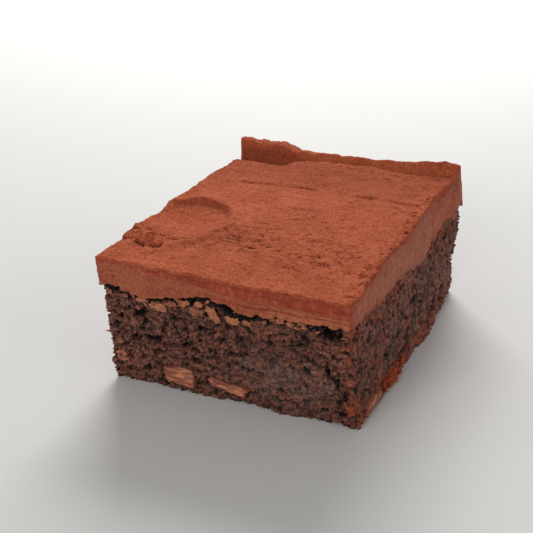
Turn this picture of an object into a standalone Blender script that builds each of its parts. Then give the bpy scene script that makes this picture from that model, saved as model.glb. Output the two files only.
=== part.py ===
"""A square-cut chocolate brownie: a fudgy crumb base, a slab of ganache on it,
a skin of cocoa powder over the ganache, and chopped chocolate set in the cut
sides. One shape function gives each surface, in millimetres, and each layer is
a sliced box whose points are carried onto those surfaces.

Axes: +X to the right along the front cut, +Y to the back, +Z up. The origin is
the centre of the footprint, on the surface that the brownie rests on.
"""

import math

import bmesh
import bpy
import numpy as np
from mathutils import Matrix, Vector

MM = 0.001

# ---------------------------------------------------------------- main sizes
WIDTH = 70.0  # front cut, corner to corner
DEPTH = 82.0  # front cut to back
TOP = 36.9  # height of the even part of the top
SEAM = 29.2  # height of the seam between crumb and ganache
COCOA = 0.9  # thickness of the cocoa powder
GAP = 0.35  # clearance between two layers that lie on each other
CRUMB_INSET = 0.9  # the ganache stands this far out over the crumb
FRONT_LEAN = 1.9  # the front cut leans in this far at its foot
RIGHT_FOOT = 1.7  # the right cut spreads this far at its foot
FLARE = 2.2  # and this much further past its middle
RIDGE = 1.6  # height of the lip along the back edge
RIDGE_LEFT = 3.0  # how much taller the lip is at its left end
RIDGE_RIGHT = 1.3  # and at its right end
HOLLOW = 1.5  # depth of the spoon mark on the left of the top
HOLLOW_AT = (-24.5, -14.0)
HOLLOW_RADII = (12.5, 14.5)

# slices of the layers, across, front to back, and in height
ACROSS = 18
ALONG = 21
CRUMB_ROWS = 7
GANACHE_ROWS = 3

# chocolate pieces: name, side, place along the side, height, length, height
# of the piece, depth into the crumb, tilt in degrees, how far it stands out
CHUNKS = (
    ("chunk_front_a", "front", -14.0, 4.6, 9.6, 5.6, 6.0, 3.0, 0.5),
    ("chunk_front_b", "front", -0.2, 4.4, 11.4, 3.0, 6.0, -10.0, 0.6),
    ("chunk_left_corner", "front", -30.6, 7.4, 3.2, 4.0, 4.0, -12.0, 0.8),
    ("chunk_side_a", "right", -27.8, 2.5, 11.0, 3.4, 5.0, 0.0, 1.4),
    ("cocoa_clump_side", "right", -15.4, 2.6, 10.0, 3.5, 5.8, 2.0, 1.8),
)
POCKET = 0.35  # clearance round each chocolate piece


# ------------------------------------------------------------ small functions
def bump(t, width):
    """A smooth hill of height 1 at t = 0."""
    return np.exp(-((t / width) ** 2))


def ease(t):
    """0 below t = 0, 1 above t = 1, smooth between."""
    t = np.clip(t, 0.0, 1.0)
    return t * t * (3 - 2 * t)


def roll(x, y, wavelength, seed):
    """Gentle uneven waves between about -1 and 1."""
    k = 2 * math.pi / wavelength
    return (
        np.sin(k * (x + 0.35 * y) + seed)
        + np.sin(k * 0.83 * (y - 0.4 * x) + 2.1 * seed + 1.0)
        + np.sin(k * 1.31 * (0.7 * x - 0.6 * y) + 3.7 * seed)
    ) / 2.2


# ------------------------------------------------------------ surfaces of it
def top_height(x, y):
    """The top of the cocoa: nearly level, with a spoon mark at the left, soft
    swells along both side edges and a lip along the back."""
    z = TOP + 0.22 * roll(x, y, 24.0, 0.4)
    left = bump(x + 37.0, 6.0)
    z = z + left * (
        0.5 * bump(y + 22, 7.0) + 0.3 * bump(y + 2, 5.0) - 0.4 * bump(y - 33, 6.0)
    )
    right = bump(x - 35.0, 6.0)
    z = z + right * (
        0.8 * bump(y + 17, 7.0) - 0.7 * bump(y - 3, 7.0) + 0.7 * bump(y - 31, 8.0)
    )
    r = np.hypot(
        (x - HOLLOW_AT[0]) / HOLLOW_RADII[0], (y - HOLLOW_AT[1]) / HOLLOW_RADII[1]
    )
    z = z - HOLLOW * ease(1.25 * (1.0 - r)) + 0.55 * bump(r - 1.03, 0.16)
    # trough in front of the lip, then the lip itself
    z = z - (0.3 + 1.6 * ease((-13.0 - x) / 6.0)) * bump(y - 36.4, 2.6)
    z = z + 0.9 * ease((y - 27.0) / 9.0) * ease((x + 18.0) / 8.0)
    lip = (
        RIDGE
        + RIDGE_LEFT * ease((-12.0 - x) / 7.0)
        + RIDGE_RIGHT * ease((x - 17.0) / 9.0)
    )
    run = 2.2 + 1.4 * ease((x - 8.0) / 16.0)
    return z + lip * ease((y - 39.6 + run) / run) - 0.9 * ease((y - 40.2) / 1.4)


def seam_height(x, y):
    """The seam between crumb and ganache: lower along the right cut, where the
    knife dragged the ganache down."""
    front = bump(y + 41.0, 12.0)
    z = SEAM + 0.35 * roll(x, y, 27.0, 1.7)
    z = z + front * (
        -1.6 * bump(x + 22, 8.0) + 1.5 * bump(x + 5, 5.5) - 0.4 * bump(x - 10, 6.0)
    )
    return z - 2.6 * ease((x - 20.0) / 15.0) * bump(y - 6.0, 24.0)


def front_y(x, z):
    lean = FRONT_LEAN + 0.8 * x / 35.0 + 0.35 * np.sin(x / 4.3 + 1.0)
    return -DEPTH / 2 - 0.5 + lean * (1.0 - np.clip(z / TOP, 0, 1)) ** 1.15


def back_y(x, z):
    foot = 1.3 + 0.5 * np.sin(x / 6.0 + 0.5)
    return DEPTH / 2 + 0.5 - foot * (1.0 - np.clip(z / TOP, 0, 1)) ** 1.3


def right_x(y, z):
    foot = RIGHT_FOOT + FLARE * bump(y - 14, 20.0) - 1.9 * ease((y - 26.0) / 12.0)
    swell = 1.9 * ease((y - 20.0) / 16.0) * bump(z - 24.0, 13.0)
    high = WIDTH / 2 - 0.4 + 1.9 * ease((y - 26.0) / 13.0)
    return high + swell + foot * (1.0 - np.clip(z / TOP, 0, 1)) ** 1.4


def left_x(y, z):
    # two bites out of the left edge, where the knife let the ganache tear
    first = ease((y + 38.0) / 18.0) * (1 - ease((y + 16.0) / 3.5))
    second = ease((y + 13.0) / 12.0) * (1 - ease((y - 3.0) / 3.5))
    belly = 0.3 - 0.9 * ease((y + 40.0) / 16.0) + 0.6 * first + 0.4 * second
    belly = belly - 1.4 * bump(y - 31, 12.0)
    foot = -0.2 + 1.0 * bump(y - 10, 18.0)
    return -WIDTH / 2 + 0.6 - belly - foot * (1.0 - np.clip(z / TOP, 0, 1)) ** 1.4


def onto(a, b, z, inset):
    """The point of the outline at height z, for a and b from -1 to 1."""
    x0, y0 = a * WIDTH / 2, b * DEPTH / 2
    x = ((1 - a) * (left_x(y0, z) + inset) + (1 + a) * (right_x(y0, z) - inset)) / 2
    y = ((1 - b) * (front_y(x0, z) + inset) + (1 + b) * (back_y(x0, z) - inset)) / 2
    return x, y


# ------------------------------------------------------------------ modelling
def graded(t):
    """Closer slices towards the edges, where the shape turns."""
    return 1.3 * t - 0.3 * t**3


def sliced_box(rows):
    """A box from -1 to 1, sliced across, along and in height."""
    bm = bmesh.new()
    bmesh.ops.create_cube(bm, size=2.0)
    cuts = [
        (Vector((graded(2 * i / ACROSS - 1), 0, 0)), Vector((1, 0, 0)))
        for i in range(1, ACROSS)
    ]
    cuts += [
        (Vector((0, graded(2 * i / ALONG - 1), 0)), Vector((0, 1, 0)))
        for i in range(1, ALONG)
    ]
    cuts += [
        (Vector((0, 0, 2 * i / rows - 1)), Vector((0, 0, 1))) for i in range(1, rows)
    ]
    for place, normal in cuts:
        bmesh.ops.bisect_plane(
            bm,
            geom=bm.verts[:] + bm.edges[:] + bm.faces[:],
            dist=1e-6,
            plane_co=place,
            plane_no=normal,
        )
    # the same diagonal above and below, so that facing layers keep their gap
    bm.normal_update()
    for face in [f for f in bm.faces if abs(f.normal.z) > 0.5]:
        corners = sorted(face.verts, key=lambda v: v.co.x + v.co.y)
        bmesh.utils.face_split(face, corners[0], corners[-1])
    return bm


def material(name, colour, roughness):
    mat = bpy.data.materials.new(name)
    mat.use_nodes = True
    shader = mat.node_tree.nodes["Principled BSDF"]
    shader.inputs["Base Color"].default_value = (*colour, 1.0)
    shader.inputs["Roughness"].default_value = roughness
    shader.inputs["Metallic"].default_value = 0.0
    mat.diffuse_color = (*colour, 1.0)
    return mat


def add(name, bm, mat, collection):
    bmesh.ops.recalc_face_normals(bm, faces=bm.faces[:])
    if bm.calc_volume(signed=True) < 0:
        bmesh.ops.reverse_faces(bm, faces=bm.faces[:])
    mesh = bpy.data.meshes.new(name)
    bm.to_mesh(mesh)
    bm.free()
    mesh.materials.append(mat)
    obj = bpy.data.objects.new(name, mesh)
    collection.objects.link(obj)
    return obj


def layer(name, rows, low, high, inset, crags, mat, collection, flat_foot=False):
    """One layer: low and high give its lower and upper surface."""
    bm = sliced_box(rows)
    for v in bm.verts:
        a, b, c = v.co
        x0, y0 = a * WIDTH / 2, b * DEPTH / 2
        z_low, z_high = float(low(x0, y0)), float(high(x0, y0))
        z = z_low + (z_high - z_low) * (c + 1) / 2
        x, y = onto(a, b, z, inset)
        x, y = float(x), float(y)
        if crags:
            # uneven torn crumb on the cut sides, fading at the seam
            fade = min(1.0, (1 - c) * 2.5)
            if abs(a) > 0.999:
                x += crags * fade * float(roll(y0, z, 11.0, 2.0 + a))
            if abs(b) > 0.999:
                y += crags * fade * float(roll(x0, z, 11.0, 5.0 + b))
        v.co = Vector((x, y, z)) * MM
    if flat_foot:
        foot = [f for f in bm.faces if all(v.co.z < 1e-7 for v in f.verts)]
        bmesh.ops.dissolve_faces(bm, faces=foot, use_verts=True)
    return add(name, bm, mat, collection)


def chunk_mesh(length, height, depth, seed, grow):
    """A broken piece of chocolate: a box with softened, uneven corners. It lies
    along X, with its cut face towards -Y."""
    bm = bmesh.new()
    bmesh.ops.create_cube(bm, size=2.0)
    bmesh.ops.subdivide_edges(bm, edges=bm.edges[:], cuts=2, use_grid_fill=True)
    half = (length / 2, depth / 2, height / 2)
    for v in bm.verts:
        p = Vector(v.co)
        # round the corners a little
        reach = max(abs(p.x), abs(p.y), abs(p.z)) / max(p.length, 1e-9) * math.sqrt(3)
        soften = 0.80 + 0.20 * min(reach, 1.0) if p.length > 1.5 else 1.0
        p = Vector((p.x * half[0], p.y * half[1], p.z * half[2])) * soften
        p.x += 0.40 * math.sin(3.1 * seed + 1.3 * p.z + 0.7 * p.y)
        p.z += 0.16 * math.sin(2.3 * seed + 1.1 * p.x + 0.5 * p.y)
        p.y += 0.15 * math.sin(1.7 * seed + 0.9 * p.x + 1.1 * p.z)
        v.co = p
    if grow:
        bm.normal_update()
        moves = [(v, v.co + v.normal * grow * 1.25) for v in bm.verts]
        for v, place in moves:
            v.co = place
    return bm


def place_of(side, along, height, depth, out, tilt):
    """Where a piece lies in a cut side: its middle is half its depth inside."""
    if side == "front":
        y = float(front_y(along, height)) + CRUMB_INSET - out + depth / 2
        spot, turn = Vector((along, y, height)), Matrix.Identity(3)
    else:
        x = float(right_x(along, height)) - CRUMB_INSET + out - depth / 2
        spot = Vector((x, along, height))
        turn = Matrix.Rotation(math.radians(90), 3, "Z")
    return spot, turn @ Matrix.Rotation(math.radians(-tilt), 3, "Y")


def set_chunk(spec, seed, mats, parts, cutters):
    name, side, along, height, length, tall, depth, tilt, out = spec
    spot, turn = place_of(side, along, height, depth, out, tilt)
    made = []
    for grow in (0.0, POCKET):
        bm = chunk_mesh(length, tall, depth, seed, grow)
        for v in bm.verts:
            v.co = (turn @ v.co + spot) * MM
        made.append(bm)
    mat = mats["cocoa"] if "clump" in name else mats["chocolate"]
    piece = add(name, made[0], mat, parts)
    cutter = add("cut_" + name, made[1], mat, cutters)
    cutter.hide_render = True
    cutter.display_type = "WIRE"
    return piece, cutter


def main():
    for obj in list(bpy.data.objects):
        bpy.data.objects.remove(obj, do_unlink=True)

    parts = bpy.data.collections.new("chocolate_brownie")
    cutters = bpy.data.collections.new("cutters")
    bpy.context.scene.collection.children.link(parts)
    bpy.context.scene.collection.children.link(cutters)

    mats = {
        "crumb": material("crumb", (0.045, 0.026, 0.020), 0.75),
        "ganache": material("ganache", (0.24, 0.10, 0.060), 0.6),
        "cocoa": material("cocoa", (0.42, 0.125, 0.065), 0.95),
        "chocolate": material("chocolate", (0.27, 0.105, 0.065), 0.5),
    }

    crumb = layer(
        "crumb",
        CRUMB_ROWS,
        lambda x, y: 0.0,
        seam_height,
        CRUMB_INSET,
        0.5,
        mats["crumb"],
        parts,
        flat_foot=True,
    )
    layer(
        "ganache",
        GANACHE_ROWS,
        lambda x, y: seam_height(x, y) + GAP,
        lambda x, y: top_height(x, y) - COCOA - GAP,
        0.0,
        0.0,
        mats["ganache"],
        parts,
    )
    layer(
        "cocoa_dusting",
        1,
        lambda x, y: top_height(x, y) - COCOA,
        top_height,
        0.0,
        0.0,
        mats["cocoa"],
        parts,
    )

    for seed, spec in enumerate(CHUNKS, 1):
        piece, cutter = set_chunk(spec, seed, mats, parts, cutters)
        pocket = crumb.modifiers.new("pocket_" + piece.name, "BOOLEAN")
        pocket.operation = "DIFFERENCE"
        pocket.solver = "EXACT"
        pocket.object = cutter

    # the origin goes to the middle of the footprint, on the resting face
    solids = [o for o in parts.objects]
    xs = [v.co.x for o in solids for v in o.data.vertices]
    ys = [v.co.y for o in solids for v in o.data.vertices]
    shift = Vector(((min(xs) + max(xs)) / 2, (min(ys) + max(ys)) / 2, 0.0))
    for obj in solids + list(cutters.objects):
        obj.data.transform(Matrix.Translation(-shift))
        obj.data.update()
    print("footprint centre moved by", [round(c / MM, 3) for c in shift])


main()
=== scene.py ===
"""The looks of a cocoa-dusted chocolate brownie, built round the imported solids.

The crumb, the ganache and the cocoa are dense meshes on the same outline as the
solids, in millimetres, with their torn crumb, pores, knife marks and powder as
real relief. Chocolate pieces, crust flakes, crumbs and cocoa grains are small
meshes set on them.
"""

import math

import bmesh
import bpy
import numpy as np
from mathutils import Matrix, Vector


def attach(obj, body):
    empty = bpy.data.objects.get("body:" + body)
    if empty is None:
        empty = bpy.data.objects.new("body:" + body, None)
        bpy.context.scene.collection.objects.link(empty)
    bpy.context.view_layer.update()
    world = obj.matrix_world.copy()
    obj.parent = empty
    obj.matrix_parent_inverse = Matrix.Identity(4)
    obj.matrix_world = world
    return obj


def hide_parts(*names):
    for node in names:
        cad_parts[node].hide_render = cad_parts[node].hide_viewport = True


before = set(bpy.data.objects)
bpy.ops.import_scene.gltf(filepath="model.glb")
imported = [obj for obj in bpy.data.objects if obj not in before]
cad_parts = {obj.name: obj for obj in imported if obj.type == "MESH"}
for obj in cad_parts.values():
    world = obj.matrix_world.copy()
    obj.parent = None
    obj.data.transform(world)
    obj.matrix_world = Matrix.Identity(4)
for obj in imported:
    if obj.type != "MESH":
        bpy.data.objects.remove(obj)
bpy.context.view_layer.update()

MM = 0.001
SHIFT_X = -1.719  # the footprint's centre, as part.py centres it
rng = np.random.default_rng(7)

# the same driving sizes as the solids
WIDTH, DEPTH, TOP, SEAM = 70.0, 82.0, 36.9, 29.2
CRUMB_INSET = 0.9
FRONT_LEAN, RIGHT_FOOT, FLARE = 1.9, 1.7, 2.2
RIDGE, RIDGE_LEFT, RIDGE_RIGHT = 1.6, 3.0, 1.3
HOLLOW, HOLLOW_AT, HOLLOW_RADII = 1.5, (-24.5, -14.0), (12.5, 14.5)


# ------------------------------------------------------------------ functions
def bump(t, width):
    return np.exp(-((t / width) ** 2))


def ease(t):
    t = np.clip(t, 0.0, 1.0)
    return t * t * (3 - 2 * t)


def mix(a, b, t):
    return a + (b - a) * t


def roll(x, y, wavelength, seed):
    k = 2 * math.pi / wavelength
    return (
        np.sin(k * (x + 0.35 * y) + seed)
        + np.sin(k * 0.83 * (y - 0.4 * x) + 2.1 * seed + 1.0)
        + np.sin(k * 1.31 * (0.7 * x - 0.6 * y) + 3.7 * seed)
    ) / 2.2


def hashed(i, j, k, seed):
    """A number from 0 to 1 for each whole cell."""
    with np.errstate(over="ignore"):
        n = (
            i.astype(np.int64).astype(np.uint32) * np.uint32(73856093)
            ^ j.astype(np.int64).astype(np.uint32) * np.uint32(19349663)
            ^ k.astype(np.int64).astype(np.uint32) * np.uint32(83492791)
            ^ np.uint32((seed * 2654435761) & 0xFFFFFFFF)
        )
        n = (n ^ (n >> np.uint32(15))) * np.uint32(2246822519)
        n = (n ^ (n >> np.uint32(13))) * np.uint32(3266489917)
        n = n ^ (n >> np.uint32(16))
    return n.astype(np.float64) / 4294967295.0


def noise(p, size, seed=0):
    """Smooth gradient noise, about -1 to 1, with features of this size in mm."""
    q = p / size
    base = np.floor(q)
    f = q - base
    w = f * f * f * (f * (f * 6 - 15) + 10)
    i, j, k = (base[..., n] for n in range(3))
    total = 0.0
    for di in (0, 1):
        for dj in (0, 1):
            for dk in (0, 1):
                ci, cj, ck = i + di, j + dj, k + dk
                gx = hashed(ci, cj, ck, seed * 3 + 1) * 2 - 1
                gy = hashed(ci, cj, ck, seed * 3 + 2) * 2 - 1
                gz = hashed(ci, cj, ck, seed * 3 + 3) * 2 - 1
                dot = gx * (f[..., 0] - di) + gy * (f[..., 1] - dj) + gz * (f[..., 2] - dk)
                wx = w[..., 0] if di else 1 - w[..., 0]
                wy = w[..., 1] if dj else 1 - w[..., 1]
                wz = w[..., 2] if dk else 1 - w[..., 2]
                total = total + wx * wy * wz * dot
    return total * 1.9


def layered(p, size, octaves, seed=0, fall=0.5):
    total, weight = 0.0, 1.0
    for n in range(octaves):
        total = total + weight * noise(p, size / 2**n, seed + 11 * n)
        weight *= fall
    return total


def cells(p, size, seed=0):
    """Distance to the nearest and second nearest scattered point, in cells,
    and a number for the nearest cell."""
    q = p / size
    base = np.floor(q)
    first = np.full(q.shape[:-1], 9.0)
    second = np.full(q.shape[:-1], 9.0)
    ident = np.zeros(q.shape[:-1])
    for di in (-1, 0, 1):
        for dj in (-1, 0, 1):
            for dk in (-1, 0, 1):
                ci = base[..., 0] + di
                cj = base[..., 1] + dj
                ck = base[..., 2] + dk
                px = ci + hashed(ci, cj, ck, seed * 5 + 1)
                py = cj + hashed(ci, cj, ck, seed * 5 + 2)
                pz = ck + hashed(ci, cj, ck, seed * 5 + 3)
                d = np.sqrt(
                    (q[..., 0] - px) ** 2 + (q[..., 1] - py) ** 2 + (q[..., 2] - pz) ** 2
                )
                nearer = d < first
                second = np.where(nearer, first, np.minimum(second, d))
                ident = np.where(nearer, hashed(ci, cj, ck, seed * 5 + 4), ident)
                first = np.where(nearer, d, first)
    return first, second, ident


def dome(distance, radius):
    """A rounded lump, 1 at its middle and 0 at its edge and beyond."""
    return np.sqrt(np.clip(1 - (distance / radius) ** 2, 0, None))


def near_line(x, y, ax, ay, bx, by):
    """Distance from a straight line between two places, and how far along."""
    vx, vy = bx - ax, by - ay
    t = np.clip(((x - ax) * vx + (y - ay) * vy) / (vx * vx + vy * vy), 0, 1)
    side = ((x - ax) * vy - (y - ay) * vx) / math.hypot(vx, vy)
    return np.hypot(x - ax - t * vx, y - ay - t * vy), t, side


# ------------------------------------------------------- surfaces of the solid
def top_height(x, y):
    z = TOP + 0.22 * roll(x, y, 24.0, 0.4)
    left = bump(x + 37.0, 6.0)
    z = z + left * (
        0.5 * bump(y + 22, 7.0) + 0.3 * bump(y + 2, 5.0) - 0.4 * bump(y - 33, 6.0)
    )
    right = bump(x - 35.0, 6.0)
    z = z + right * (
        0.8 * bump(y + 17, 7.0) - 0.7 * bump(y - 3, 7.0) + 0.7 * bump(y - 31, 8.0)
    )
    r = np.hypot(
        (x - HOLLOW_AT[0]) / HOLLOW_RADII[0], (y - HOLLOW_AT[1]) / HOLLOW_RADII[1]
    )
    z = z - HOLLOW * ease(1.25 * (1.0 - r)) + 0.55 * bump(r - 1.03, 0.16)
    z = z - (0.3 + 1.6 * ease((-13.0 - x) / 6.0)) * bump(y - 36.4, 2.6)
    z = z + 0.9 * ease((y - 27.0) / 9.0) * ease((x + 18.0) / 8.0)
    lip = (
        RIDGE
        + RIDGE_LEFT * ease((-12.0 - x) / 7.0)
        + RIDGE_RIGHT * ease((x - 17.0) / 9.0)
    )
    run = 2.2 + 1.4 * ease((x - 8.0) / 16.0)
    return z + lip * ease((y - 39.6 + run) / run) - 0.9 * ease((y - 40.2) / 1.4)


def seam_height(x, y):
    front = bump(y + 41.0, 12.0)
    z = SEAM + 0.35 * roll(x, y, 27.0, 1.7)
    z = z + front * (
        -1.6 * bump(x + 22, 8.0) + 1.5 * bump(x + 5, 5.5) - 0.4 * bump(x - 10, 6.0)
    )
    return z - 2.6 * ease((x - 20.0) / 15.0) * bump(y - 6.0, 24.0)


def front_y(x, z):
    lean = FRONT_LEAN + 0.8 * x / 35.0 + 0.35 * np.sin(x / 4.3 + 1.0)
    return -DEPTH / 2 - 0.5 + lean * (1.0 - np.clip(z / TOP, 0, 1)) ** 1.15


def back_y(x, z):
    foot = 1.3 + 0.5 * np.sin(x / 6.0 + 0.5)
    return DEPTH / 2 + 0.5 - foot * (1.0 - np.clip(z / TOP, 0, 1)) ** 1.3


def right_x(y, z):
    foot = RIGHT_FOOT + FLARE * bump(y - 14, 20.0) - 1.9 * ease((y - 26.0) / 12.0)
    swell = 1.9 * ease((y - 20.0) / 16.0) * bump(z - 24.0, 13.0)
    high = WIDTH / 2 - 0.4 + 1.9 * ease((y - 26.0) / 13.0)
    return high + swell + foot * (1.0 - np.clip(z / TOP, 0, 1)) ** 1.4


def left_x(y, z):
    # two bites out of the left edge, where the knife let the ganache tear
    first = ease((y + 38.0) / 18.0) * (1 - ease((y + 16.0) / 3.5))
    second = ease((y + 13.0) / 12.0) * (1 - ease((y - 3.0) / 3.5))
    belly = 0.3 - 0.9 * ease((y + 40.0) / 16.0) + 0.6 * first + 0.4 * second
    belly = belly - 1.4 * bump(y - 31, 12.0)
    foot = -0.2 + 1.0 * bump(y - 10, 18.0)
    return -WIDTH / 2 + 0.6 - belly - foot * (1.0 - np.clip(z / TOP, 0, 1)) ** 1.4


def onto(a, b, z, inset):
    x0, y0 = a * WIDTH / 2, b * DEPTH / 2
    x = ((1 - a) * (left_x(y0, z) + inset) + (1 + a) * (right_x(y0, z) - inset)) / 2
    y = ((1 - b) * (front_y(x0, z) + inset) + (1 + b) * (back_y(x0, z) - inset)) / 2
    return x, y


# ------------------------------------------------------------- mesh machinery
def rim(front, right, back, left):
    """Places round the outline, from the front left corner and rightwards."""
    a = np.concatenate(
        [
            np.linspace(-1, 1, front, endpoint=False),
            np.ones(right),
            np.linspace(1, -1, back, endpoint=False),
            -np.ones(left),
        ]
    )
    b = np.concatenate(
        [
            -np.ones(front),
            np.linspace(-1, 1, right, endpoint=False),
            np.ones(back),
            np.linspace(1, -1, left, endpoint=False),
        ]
    )
    side = np.concatenate(
        [np.zeros(front), np.ones(right), np.full(back, 2), np.full(left, 3)]
    ).astype(int)
    return a, b, side


def side_normals(points):
    """Outward directions of a band of points (rows, columns, 3)."""
    along = np.roll(points, -2, axis=1) - np.roll(points, 2, axis=1)
    up = np.gradient(points, axis=0)
    normal = np.cross(along, up)
    return normal / np.linalg.norm(normal, axis=-1, keepdims=True)


def wrap_faces(rows, cols, start=0):
    r = np.arange(rows - 1)[:, None] * cols
    c = np.arange(cols)[None, :]
    d = (np.arange(cols)[None, :] + 1) % cols
    quads = np.stack([r + c, r + d, r + cols + d, r + cols + c], axis=-1)
    return quads.reshape(-1, 4) + start


def piece(name, points, quads, caps, shade=True, tones=None, mat=None, extra=()):
    """A mesh object from points in mm. caps are longer faces. tones is a
    (points, 3) array kept as the colour attribute "tone"."""
    mesh = bpy.data.meshes.new(name)
    place = np.array(points, float).reshape(-1, 3)
    place[:, 0] += SHIFT_X
    faces = [tuple(q) for q in quads.tolist()] + [tuple(c) for c in caps]
    mesh.from_pydata((place * MM).tolist(), [], faces)
    mesh.update()
    if shade:
        mesh.shade_smooth()
    if tones is not None:
        colours = np.ones((len(place), 4), np.float32)
        colours[:, :3] = tones.reshape(-1, 3)
        layer = mesh.color_attributes.new("tone", "FLOAT_COLOR", "POINT")
        layer.data.foreach_set("color", colours.ravel())
    obj = bpy.data.objects.new(name, mesh)
    bpy.context.scene.collection.objects.link(obj)
    if mat is not None:
        mesh.materials.append(mat)
    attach(obj, "root")
    return obj


# ------------------------------------------------------------------ materials
def srgb(r, g, b):
    def one(c):
        c /= 255.0
        return c / 12.92 if c <= 0.04045 else ((c + 0.055) / 1.055) ** 2.4

    return (one(r), one(g), one(b), 1.0)


class Paint:
    """A material's nodes, with short calls for the few kinds used here."""

    def __init__(self, name):
        self.mat = bpy.data.materials.new(name)
        self.mat.use_nodes = True
        self.tree = self.mat.node_tree
        self.shader = self.tree.nodes["Principled BSDF"]
        self.coords = self.tree.nodes.new("ShaderNodeTexCoord").outputs["Object"]

    def link(self, value, socket):
        if isinstance(value, (int, float)):
            socket.default_value = value
        elif isinstance(value, tuple):
            socket.default_value = value
        else:
            self.tree.links.new(value, socket)

    def stretched(self, x, y, z):
        node = self.tree.nodes.new("ShaderNodeMapping")
        self.link(self.coords, node.inputs["Vector"])
        node.inputs["Scale"].default_value = (x, y, z)
        return node.outputs["Vector"]

    def noise(self, size, detail=3.0, rough=0.55, coords=None, distortion=0.0):
        """Noise with features of this size in mm, from 0 to 1."""
        node = self.tree.nodes.new("ShaderNodeTexNoise")
        self.link(coords or self.coords, node.inputs["Vector"])
        node.inputs["Scale"].default_value = 1000.0 / size
        node.inputs["Detail"].default_value = detail
        node.inputs["Roughness"].default_value = rough
        node.inputs["Distortion"].default_value = distortion
        return node.outputs["Fac"]

    def voronoi(self, size, coords=None, feature="F1"):
        node = self.tree.nodes.new("ShaderNodeTexVoronoi")
        node.feature = feature
        self.link(coords or self.coords, node.inputs["Vector"])
        node.inputs["Scale"].default_value = 1000.0 / size
        return node.outputs["Distance"]

    def tone(self):
        """The three tones of the mesh, as separate values."""
        node = self.tree.nodes.new("ShaderNodeAttribute")
        node.attribute_name = "tone"
        split = self.tree.nodes.new("ShaderNodeSeparateColor")
        self.link(node.outputs["Color"], split.inputs["Color"])
        return split.outputs[0], split.outputs[1], split.outputs[2]

    def ramp(self, value, low, high, low_out=0.0, high_out=1.0):
        node = self.tree.nodes.new("ShaderNodeMapRange")
        node.interpolation_type = "SMOOTHSTEP"
        self.link(value, node.inputs["Value"])
        for key, number in zip(
            ("From Min", "From Max", "To Min", "To Max"), (low, high, low_out, high_out)
        ):
            node.inputs[key].default_value = number
        return node.outputs["Result"]

    def math(self, kind, a, b=0.0):
        node = self.tree.nodes.new("ShaderNodeMath")
        node.operation = kind
        self.link(a, node.inputs[0])
        self.link(b, node.inputs[1])
        return node.outputs[0]

    def blend(self, factor, a, b):
        node = self.tree.nodes.new("ShaderNodeMix")
        node.data_type = "RGBA"
        self.link(factor, node.inputs[0])
        self.link(a, node.inputs[6])
        self.link(b, node.inputs[7])
        return node.outputs[2]

    def colour(self, value):
        self.link(value, self.shader.inputs["Base Color"])

    def roughness(self, value):
        self.link(value, self.shader.inputs["Roughness"])

    def bumps(self, *layers):
        """(height, strength, depth in mm) pairs, one on another."""
        normal = None
        for height, strength, depth in layers:
            node = self.tree.nodes.new("ShaderNodeBump")
            node.inputs["Strength"].default_value = strength
            node.inputs["Distance"].default_value = depth * MM
            self.link(height, node.inputs["Height"])
            if normal is not None:
                self.link(normal, node.inputs["Normal"])
            normal = node.outputs["Normal"]
        self.link(normal, self.shader.inputs["Normal"])

    def set(self, **values):
        for key, value in values.items():
            self.shader.inputs[key.replace("_", " ")].default_value = value


# named colours, in sRGB as seen on each material
COCOA_LIGHT = srgb(186, 94, 62)
COCOA_MID = srgb(170, 80, 50)
COCOA_PALE = srgb(212, 122, 86)
COCOA_DARK = srgb(112, 46, 27)
# near-black for painted shade in the cocoa's cracks, creases and under the back roll
COCOA_PAINTED_SHADE = srgb(50, 17, 9)
GANACHE_MID = srgb(155, 75, 50)
GANACHE_TAN = srgb(178, 102, 68)
GANACHE_DARK = srgb(108, 48, 33)
SMEAR = srgb(150, 58, 35)
SMEAR_LIGHT = srgb(176, 84, 54)
SMEAR_DARK = srgb(118, 42, 25)
# near-black for painted shade in pores and gaps, and for small dark specks
CRUMB_SHADE_AND_SPECK = srgb(14, 8, 6)
CRUMB_DARK = srgb(62, 36, 28)
CRUMB_MID = srgb(132, 79, 61)
CRUMB_LIGHT = srgb(172, 124, 102)
CRUMB_RED = srgb(138, 64, 42)
# grey for painted glints, the window's reflection on fudgy crumb
CRUMB_PAINTED_GLINT = srgb(128, 104, 94)
CHOC_MID = srgb(206, 126, 90)
CHOC_DARK = srgb(128, 68, 48)
FLAKE_TAN = srgb(182, 110, 74)
FLAKE_DARK = srgb(120, 66, 46)


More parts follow.
